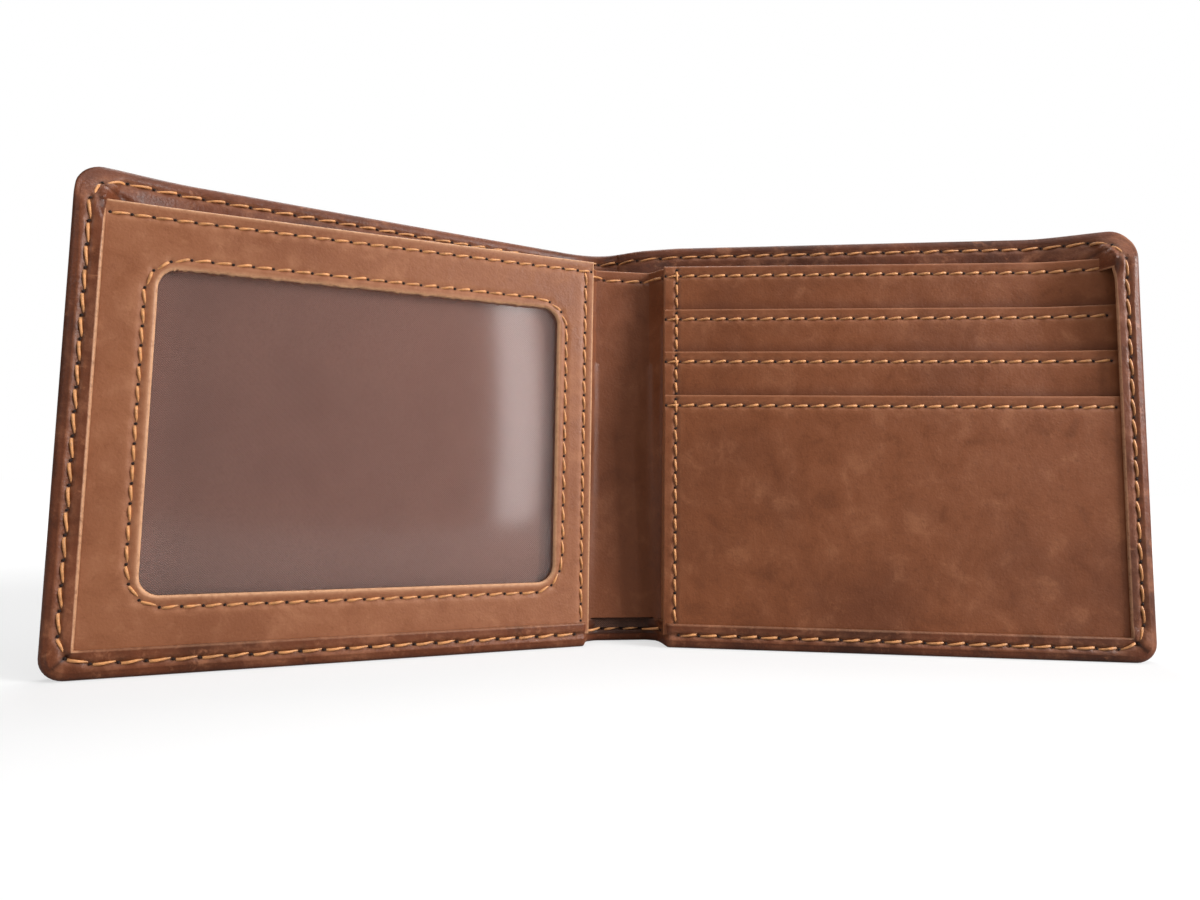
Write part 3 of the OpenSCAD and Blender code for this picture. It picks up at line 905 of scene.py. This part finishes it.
lines = cellLines(foldX + 4.0, foldX + 92.0, 1.2)
cloth = addPanel("pocketLining", left, lines, cellLines(6.0, 78.0, 1.2), layer(left, -0.6), layer(left, -0.3),
                 pocketCloth, warp=lambda s, z: 0.12 * np.sin(s * 0.11 + 1) * np.sin(z * 0.09))
inLayer(cloth, "id_pocket_lining", left)

clear = addPanel("windowFilm", left, cellLines(foldX + 6.5, foldX + 88.5, 1.2), cellLines(11.0, 74.4, 1.2),
                 layer(left, -2.85), layer(left, -2.6), film,
                 warp=lambda s, z: 0.45 * np.sin((s - foldX) / 95 * math.pi) * np.sin(z / 85 * math.pi))
inLayer(clear, "id_window_film", left)

for side in (left, right):
    for kind in ("Cover", "Bill"):
        zLines = cellLines(3.0, (coverTop - 8.6) if kind == "Cover" else stripTop - 1.5, 2.0)
        if kind == "Cover":
            near, far = onCover(side, 0.45), onCover(side, 0.15)
        else:
            near, far = leaning(side, 1.05), leaning(side, 1.35)
        lines = cellLines(0.0, panelEnd - 1, 2.0, ends=0.05)
        piece = addPanel(word[side] + kind + "Lining", side, lines, zLines, near, far, liningCloth,
                         free=(False, True, True, True))
        name = "_cover_lining" if kind == "Cover" else "_bill_lining"
        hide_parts(*([word[side] + name] + (["spine" + name] if side == left else [])))
        bendWith(piece)

for i, name, node in ((1, "upperCloth", "upper_pocket_cloth"), (2, "middleCloth", "middle_pocket_cloth")):
    lowZ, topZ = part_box(node)[0].z / mm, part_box(node)[1].z / mm
    front = wallet["cardFronts"][i] + 0.45
    piece = addPanel(name, right, cellLines(foldX + 4, panelEnd - 1, coarse), cellLines(lowZ, topZ, coarse),
                     layer(right, front), layer(right, front + 0.3), liningCloth)
    inLayer(piece, node, right)
print("wallet: cloth and film made")


def stitchTree():
    tree = bpy.data.node_groups.new("stitchRow", "GeometryNodeTree")
    face = tree.interface
    face.new_socket(name="Geometry", in_out="INPUT", socket_type="NodeSocketGeometry")
    numbers = (("Thread thickness", 0.00055), ("Visible share", 0.8), ("Slant", 0.12), ("Unevenness", 0.06),
               ("Hole size", 0.0006))
    for name, value in numbers:
        face.new_socket(name=name, in_out="INPUT", socket_type="NodeSocketFloat").default_value = value
    face.new_socket(name="Seed", in_out="INPUT", socket_type="NodeSocketInt").default_value = 1
    face.new_socket(name="Thread material", in_out="INPUT", socket_type="NodeSocketMaterial")
    face.new_socket(name="Hole material", in_out="INPUT", socket_type="NodeSocketMaterial")
    face.new_socket(name="Geometry", in_out="OUTPUT", socket_type="NodeSocketGeometry")
    nodes, links = tree.nodes, tree.links
    into, end = nodes.new("NodeGroupInput"), nodes.new("NodeGroupOutput")

    given = into.outputs

    def node(kind, inputs=None, **sets):
        made = nodes.new(kind)
        for key, value in sets.items():
            setattr(made, key, value)
        feed(links, [(made.inputs[key], value) for key, value in (inputs or {}).items()])
        return made

    def calc(kind, a, b):
        return maths(nodes, links, kind, a, b)

    points = node("GeometryNodeMeshToPoints", {"Mesh": given["Geometry"]})
    position = node("GeometryNodeInputPosition").outputs[0]
    following = calc("ADD", node("GeometryNodeInputIndex").outputs[0], 1.0)
    later = node("GeometryNodeFieldAtIndex", {"Index": following, "Value": position},
                 data_type="FLOAT_VECTOR", domain="POINT")
    toNext = node("ShaderNodeVectorMath", {0: later.outputs[0], 1: position}, operation="SUBTRACT").outputs[0]
    long = node("ShaderNodeVectorMath", {0: toNext}, operation="LENGTH").outputs["Value"]
    outward = node("GeometryNodeInputNamedAttribute", {"Name": "outward"}, data_type="FLOAT_VECTOR")
    last = node("GeometryNodeInputNamedAttribute", {"Name": "lastHole"}, data_type="FLOAT")
    facing = node("FunctionNodeAxesToRotation", {0: toNext, 1: outward.outputs[0]},
                  primary_axis="X", secondary_axis="Z")
    wobble = node("FunctionNodeRandomValue", {2: -1.0, 3: 1.0, "Seed": given["Seed"]}, data_type="FLOAT")
    uneven = calc("MULTIPLY", wobble.outputs[1], given["Unevenness"])
    slant = node("ShaderNodeCombineXYZ", {"Z": calc("ADD", given["Slant"], uneven)})
    turn = node("FunctionNodeEulerToRotation", {0: slant.outputs[0]})
    turned = node("FunctionNodeRotateRotation", {0: facing.outputs[0], 1: turn.outputs[0]},
                  rotation_space="LOCAL")
    half = node("ShaderNodeVectorMath", {0: toNext, "Scale": 0.5}, operation="SCALE")

    # One stitch: an arched thread, a little thicker at its later end.
    thread = given["Thread thickness"]
    bends = {"Resolution": 7}
    for name, x, rise in (("Start", -0.5, -0.55), ("Middle", 0.12, 1.25), ("End", 0.5, -0.55)):
        bends[name] = node("ShaderNodeCombineXYZ", {"X": x, "Z": calc("MULTIPLY", thread, rise)}).outputs[0]
    arc = node("GeometryNodeCurveQuadraticBezier", bends)
    share = node("GeometryNodeSplineParameter").outputs["Factor"]
    radius = calc("ADD", 0.78, calc("MULTIPLY", share, 0.5))
    taper = node("GeometryNodeSetCurveRadius", {"Curve": arc.outputs[0], "Radius": radius})
    ring = node("GeometryNodeCurvePrimitiveCircle", {"Resolution": 6,
                                                     "Radius": calc("MULTIPLY", thread, 0.5)})
    tube = node("GeometryNodeCurveToMesh", {"Curve": taper.outputs[0], "Profile Curve": ring.outputs[0],
                                            "Fill Caps": True})
    if "Scale" in tube.inputs:
        links.new(node("GeometryNodeInputRadius").outputs[0], tube.inputs["Scale"])

    # Its size and turn are kept from the holes before the points move halfway to the next hole.
    shownLong = calc("MULTIPLY", long, given["Visible share"])
    size = node("ShaderNodeCombineXYZ", {"X": shownLong, "Y": 1.0, "Z": 1.0})
    kept = node("GeometryNodeCaptureAttribute")
    kept.capture_items.new("VECTOR", "size")
    kept.capture_items.new("ROTATION", "turn")
    feed(links, ((kept.inputs["Geometry"], points.outputs[0]), (kept.inputs[1], size.outputs[0]),
                 (kept.inputs[2], turned.outputs[0])))
    keptHalf = node("GeometryNodeCaptureAttribute")
    keptHalf.capture_items.new("VECTOR", "offset")
    feed(links, ((keptHalf.inputs["Geometry"], kept.outputs[0]), (keptHalf.inputs[1], half.outputs[0])))
    moved = node("GeometryNodeSetPosition", {"Geometry": keptHalf.outputs[0], "Offset": keptHalf.outputs[1]})
    ball = node("GeometryNodeMeshUVSphere", {"Segments": 8, "Rings": 4,
                                             "Radius": calc("MULTIPLY", given["Hole size"], 0.5)})
    rows = node("GeometryNodeInstanceOnPoints", {
        "Points": moved.outputs[0], "Instance": tube.outputs[0], "Scale": kept.outputs[1],
        "Rotation": kept.outputs[2], "Selection": calc("LESS_THAN", last.outputs[0], 0.5)})
    # Dark spheres in the needle holes, as painted shade.
    holes = node("GeometryNodeInstanceOnPoints", {
        "Points": kept.outputs[0], "Instance": ball.outputs[0], "Scale": (1.0, 1.0, 0.45),
        "Rotation": kept.outputs[2]})
    join = node("GeometryNodeJoinGeometry")
    for instances, paint in ((rows, "Thread material"), (holes, "Hole material")):
        real = node("GeometryNodeRealizeInstances", {0: instances.outputs[0]})
        painted = node("GeometryNodeSetMaterial", {"Geometry": real.outputs[0], "Material": given[paint]})
        links.new(painted.outputs[0], join.inputs[0])
    links.new(join.outputs[0], end.inputs[0])
    return tree


stitches = {
    "thickness": 0.5,
    "visibleShare": 0.8,
    "slantDegrees": 8.0,
    "uneven": 0.06,
    "holeSize": 0.54,
    "sunk": 0.18,             # holes below the face of a panel
    "hemSunk": 0.16,
    "backSunk": 0.12,
}
rowTree = stitchTree()


def outwardOf(side, s, z, surface, sign):
    e = 0.4
    ds = place(side, s + e, surface(s + e, z), z) - place(side, s - e, surface(s - e, z), z)
    dz = place(side, s, surface(s, z + e), z + e) - place(side, s, surface(s, z - e), z - e)
    n = np.cross(ds, dz)
    n = n / np.linalg.norm(n, axis=1, keepdims=True)
    return n * np.where(n[:, 1:2] * sign > 0, 1.0, -1.0)


# One object for one seam: runs is a list of (holes, surface depth, +1 outside / -1 inside).
def addStitches(name, side, runs, seed):
    points, outs, lasts, edges = [], [], [], []
    for holes, surface, sign in runs:
        s, z = holes[:, 0], holes[:, 1]
        base = sum(len(p) for p in points)
        points.append(place(side, s, surface(s, z), z))
        outs.append(outwardOf(side, s, z, surface, sign))
        last = np.zeros(len(s))
        last[-1] = 1
        lasts.append(last)
        edges += [(base + i, base + i + 1) for i in range(len(s) - 1)]
    mesh = bpy.data.meshes.new(name + "Path")
    mesh.from_pydata([tuple(p) for p in np.concatenate(points)], edges, [])
    outward = mesh.attributes.new("outward", "FLOAT_VECTOR", "POINT")
    outward.data.foreach_set("vector", np.concatenate(outs).ravel())
    mesh.attributes.new("lastHole", "FLOAT", "POINT").data.foreach_set("value", np.concatenate(lasts))
    path = bpy.data.objects.new(name + "Path", mesh)
    bpy.context.scene.collection.objects.link(path)
    row = path.modifiers.new("stitches", "NODES")
    row.node_group = rowTree
    values = {"Thread thickness": stitches["thickness"] * mm, "Visible share": stitches["visibleShare"],
              "Slant": math.radians(stitches["slantDegrees"]), "Unevenness": stitches["uneven"],
              "Hole size": stitches["holeSize"] * mm, "Seed": seed, "Thread material": threadYarn,
              "Hole material": holeShade}
    for socket in rowTree.interface.items_tree:
        if socket.in_out == "INPUT" and socket.name in values:
            row[socket.identifier] = values[socket.name]
    bpy.context.view_layer.update()
    graph = bpy.context.evaluated_depsgraph_get()
    ready = path.evaluated_get(graph)
    made = bpy.data.meshes.new_from_object(ready, preserve_all_data_layers=True, depsgraph=graph)
    made.name = name
    made.polygons.foreach_set("use_smooth", np.ones(len(made.polygons), bool))
    piece = bpy.data.objects.new(name, made)
    bpy.context.scene.collection.objects.link(piece)
    bpy.data.objects.remove(path)
    bpy.data.meshes.remove(mesh)
    return piece


def panelSeat(side, v):
    return lambda s, z: depth(side, s, z, v) + stitches["sunk"]


def hemSeat(side):
    return lambda s, z: hemSurface(side, s, z) + stitches["hemSunk"]


def backSeat(side):
    return lambda s, z: coverOuter(side, s, z) - stitches["backSunk"]


def stripSeat(s, z):
    return depth(left, s, z, 0.0) + lean(s, z) + stitches["sunk"]


splitAt = int(np.nonzero((hemHoles[:, 1] > coverTop - 4.0))[0][0])
for side in (left, right):
    names = ["left_hem_thread", "spine_hem_thread"] if side == left else ["right_hem_thread"]
    tops = ["left_top_thread", "spine_top_thread"] if side == left else ["right_top_thread"]
    for label, part, nodesHere in (("HemThread", hemHoles[:splitAt + 1], names),
                                   ("TopThread", hemHoles[splitAt:], tops)):
        piece = addStitches(word[side] + label, side,
                            [(part, hemSeat(side), -1), (part, backSeat(side), 1)], 5 + side)
        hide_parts(*nodesHere)
        bendWith(piece)
for name, node, run in (("idTopThread", "id_top_thread", idTopHoles),
                        ("idEdgeThread", "id_edge_thread", idEdgeHoles),
                        ("windowThread", "id_window_thread", windowHoles)):
    piece = addStitches(name, left, [(run, panelSeat(left, wallet["idFront"]), -1)], 11)
    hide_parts(node)
    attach(piece, "left_half")
cardSeams = [(cardHoles[i], panelSeat(right, front), -1) for i, front in enumerate(wallet["cardFronts"])]
for i, (name, node) in enumerate((("cardBackThread", "card_back_thread"),
                                  ("upperPocketThread", "upper_pocket_thread"),
                                  ("middlePocketThread", "middle_pocket_thread"),
                                  ("frontPocketThread", "front_pocket_thread"))):
    piece = addStitches(name, right, [cardSeams[i]], 21 + i)
    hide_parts(node)
    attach(piece, "right_half")
runs = [(run, panelSeat(right, front), -1) for run, front in zip(cardEdgeRuns, wallet["cardFronts"])]
piece = addStitches("cardEdgeThread", right, runs, 31)
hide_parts("card_edge_thread")
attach(piece, "right_half")
for side in (left, right):
    piece = addStitches(word[side] + "StripThread", side, [(stripHoles, stripSeat, -1)], 41)
    if side == left:
        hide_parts("centre_strip_thread")
    bendWith(piece)
print("wallet: stitches made")

studio = {
    "worldLight": 0.10,
    "floorGlow": 0.6,
    "floorTone": 0.36,
}


def addFloor():
    mesh = bpy.data.meshes.new("floor")
    mesh.from_pydata([(-6, -3, 0), (6, -3, 0), (6, 9, 0), (-6, 9, 0)], [], [(0, 1, 2, 3)])
    floor = bpy.data.objects.new("floor", mesh)
    bpy.context.scene.collection.objects.link(floor)
    material = bpy.data.materials.new("floor")
    material.use_nodes = True
    nodes, links = material.node_tree.nodes, material.node_tree.links
    nodes.clear()
    end, add = nodes.new("ShaderNodeOutputMaterial"), nodes.new("ShaderNodeAddShader")
    matt, glow, ray = (nodes.new("ShaderNodeBsdfDiffuse"), nodes.new("ShaderNodeEmission"),
                       nodes.new("ShaderNodeLightPath"))
    matt.inputs["Color"].default_value = (studio["floorTone"],) * 3 + (1,)
    away = nodes.new("ShaderNodeVectorMath")
    away.operation = "LENGTH"
    links.new(nodes.new("ShaderNodeTexCoord").outputs["Object"], away.inputs[0])
    bright = spread(nodes, links, away.outputs["Value"], 0.16, 0.5, studio["floorGlow"], 1.0)
    links.new(maths(nodes, links, "MULTIPLY", ray.outputs["Is Camera Ray"], bright), glow.inputs["Strength"])
    links.new(matt.outputs[0], add.inputs[0])
    links.new(glow.outputs[0], add.inputs[1])
    links.new(add.outputs[0], end.inputs["Surface"])
    floor.data.materials.append(material)


def addWorld():
    world = bpy.data.worlds.new("studio")
    bpy.context.scene.world = world
    world.use_nodes = True
    nodes, links = world.node_tree.nodes, world.node_tree.links
    nodes.clear()
    end, mix = nodes.new("ShaderNodeOutputWorld"), nodes.new("ShaderNodeMixShader")
    seen, soft, ray = (nodes.new("ShaderNodeBackground"), nodes.new("ShaderNodeBackground"),
                       nodes.new("ShaderNodeLightPath"))
    seen.inputs["Strength"].default_value = 1.0
    seen.inputs["Color"].default_value = (1, 1, 1, 1)
    soft.inputs["Color"].default_value = (1.0, 0.985, 0.97, 1)
    soft.inputs["Strength"].default_value = studio["worldLight"]
    links.new(ray.outputs["Is Camera Ray"], mix.inputs[0])
    links.new(soft.outputs[0], mix.inputs[1])
    links.new(seen.outputs[0], mix.inputs[2])
    links.new(mix.outputs[0], end.inputs["Surface"])


def addLight(name, spot, aim, size, power):
    data = bpy.data.lights.new(name, "AREA")
    data.shape = "RECTANGLE"
    data.size, data.size_y = size
    data.energy = power
    lamp = bpy.data.objects.new(name, data)
    bpy.context.scene.collection.objects.link(lamp)
    lamp.location = spot
    lamp.rotation_euler = (Vector(aim) - Vector(spot)).to_track_quat("-Z", "Y").to_euler()


view = {
    "spot": (-0.0343, -0.1765, 0.0338),
    "heading": 8.88,          # degrees to the right of straight ahead
    "tilt": 5.53,
    "roll": 0.83,
    "lens": 25.11,
    "shiftY": -0.0375,
}


def addCamera():
    heading, tilt, roll = [math.radians(view[key]) for key in ("heading", "tilt", "roll")]
    ahead = Vector((math.sin(heading) * math.cos(tilt), math.cos(heading) * math.cos(tilt), math.sin(tilt)))
    side = Vector((math.cos(heading), -math.sin(heading), 0))
    up = side.cross(ahead)
    across = math.cos(roll) * side + math.sin(roll) * up
    upward = -math.sin(roll) * side + math.cos(roll) * up
    data = bpy.data.cameras.new("camera")
    data.sensor_width = 36.0
    data.lens = view["lens"]
    data.shift_y = view["shiftY"]
    data.clip_start = 0.01
    camera = bpy.data.objects.new("camera", data)
    bpy.context.scene.collection.objects.link(camera)
    turn = Matrix((across, upward, -ahead)).transposed().to_4x4()
    camera.matrix_world = Matrix.Translation(Vector(view["spot"])) @ turn
    bpy.context.scene.camera = camera


# Where each light stands, what it points at, its size and its power.
lights = {
    "topLight": ((0.1, -0.35, 0.9), (0, 0, 0.04), (0.9, 0.7), 3.4),
    "backLight": ((0.02, 0.30, 0.75), (0, -0.03, 0), (0.5, 0.3), 2.6),
    "sideLight": ((0.54, -0.35, 0.29), (-0.01, 0, 0.045), (0.25, 0.32), 5.4),
    "windowLight": ((0.352, -0.62, 0.20), (-0.03, 0, 0.045), (0.04, 0.9), 0.42),
    "leftFill": ((-0.8, -0.6, 0.5), (0, 0, 0.045), (0.5, 0.5), 1.6),
}
addFloor()
addWorld()
for name, values in lights.items():
    addLight(name, *values)
addCamera()
bpy.context.scene.view_settings.view_transform = "Standard"

print("wallet: studio ready")
